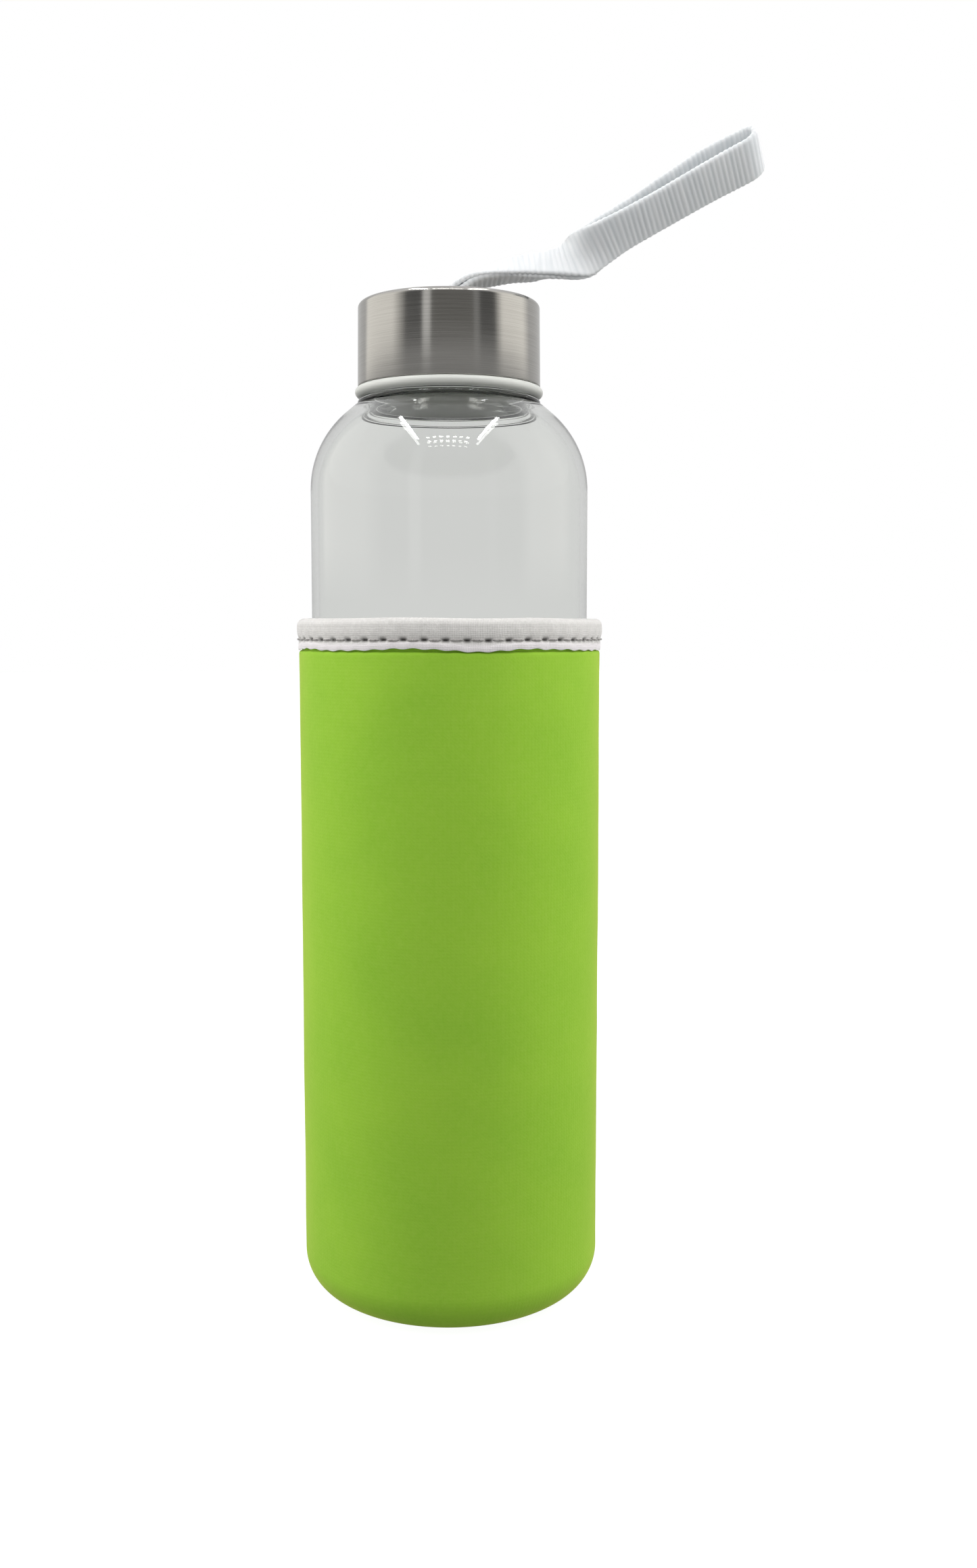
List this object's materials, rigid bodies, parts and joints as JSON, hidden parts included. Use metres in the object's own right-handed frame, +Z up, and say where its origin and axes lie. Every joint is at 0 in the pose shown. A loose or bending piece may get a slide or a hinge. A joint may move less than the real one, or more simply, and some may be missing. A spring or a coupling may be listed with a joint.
{
  "type": "glass water bottle",
  "caption": "Clear glass water bottle in a neoprene sleeve, with a screw cap of brushed steel and a webbing carry loop.",
  "frame": {"origin": "middle of the flat face that the sleeve stands on, on the bottle's axis", "axes": "+Z up along the bottle's axis, +X towards the side that the carry loop leans to"},
  "size_m": [0.1033, 0.0685, 0.2573],
  "materials": {
    "green_neoprene": "knitted nylon face on foam rubber, matt",
    "binding_tape": "warm grey woven tape, folded over the edge",
    "sewing_thread": "grey sewing thread",
    "seam_thread": "green sewing thread",
    "clear_glass": "clear, polished",
    "silicone": "translucent white silicone",
    "grey_plastic": "moulded, satin",
    "brushed_steel": "brushed round the axis",
    "pin_steel": "plain drawn wire",
    "webbing": "pale grey ribbed webbing"
  },
  "bodies": {
    "sleeve": {"sleeve_wall": "green_neoprene", "sleeve_base": "green_neoprene", "sleeve_binding": "binding_tape", "binding_stitching": "sewing_thread", "sleeve_side_seam": "seam_thread", "sleeve_base_seam": "seam_thread"},
    "glass": {"glass_bottle": "clear_glass"},
    "seal": {"cap_seal": "silicone"},
    "cap": {"cap_shell": "brushed_steel", "cap_liner": "grey_plastic", "strap_keeper_pin": "pin_steel", "strap_root": "webbing"},
    "strap": {"strap_loop": "webbing"}
  },
  "joints": [
    {"name": "bottle_out_of_sleeve", "type": "slide", "parent": "sleeve", "child": "glass", "axis": [0, 0, 1], "range_m": [0, 0.17]},
    {"name": "cap_lift", "type": "slide", "parent": "glass", "child": "seal", "axis": [0, 0, 1], "range_m": [0, 0.0165]},
    {"name": "cap_turn", "type": "hinge", "parent": "seal", "child": "cap", "pos_m": [0, 0, 0.21], "axis": [0, 0, 1], "range_deg": [0, 1440]},
    {"name": "strap_swing", "type": "hinge", "parent": "cap", "child": "strap", "pos_m": [0, 0, 0.2212], "axis": [0, -1, 0], "range_deg": [0, 90]}
  ],
  "couplings": [
    {"joint": "cap_lift", "follows": "cap_turn", "m_per_rad": 0.00063662}
  ]
}
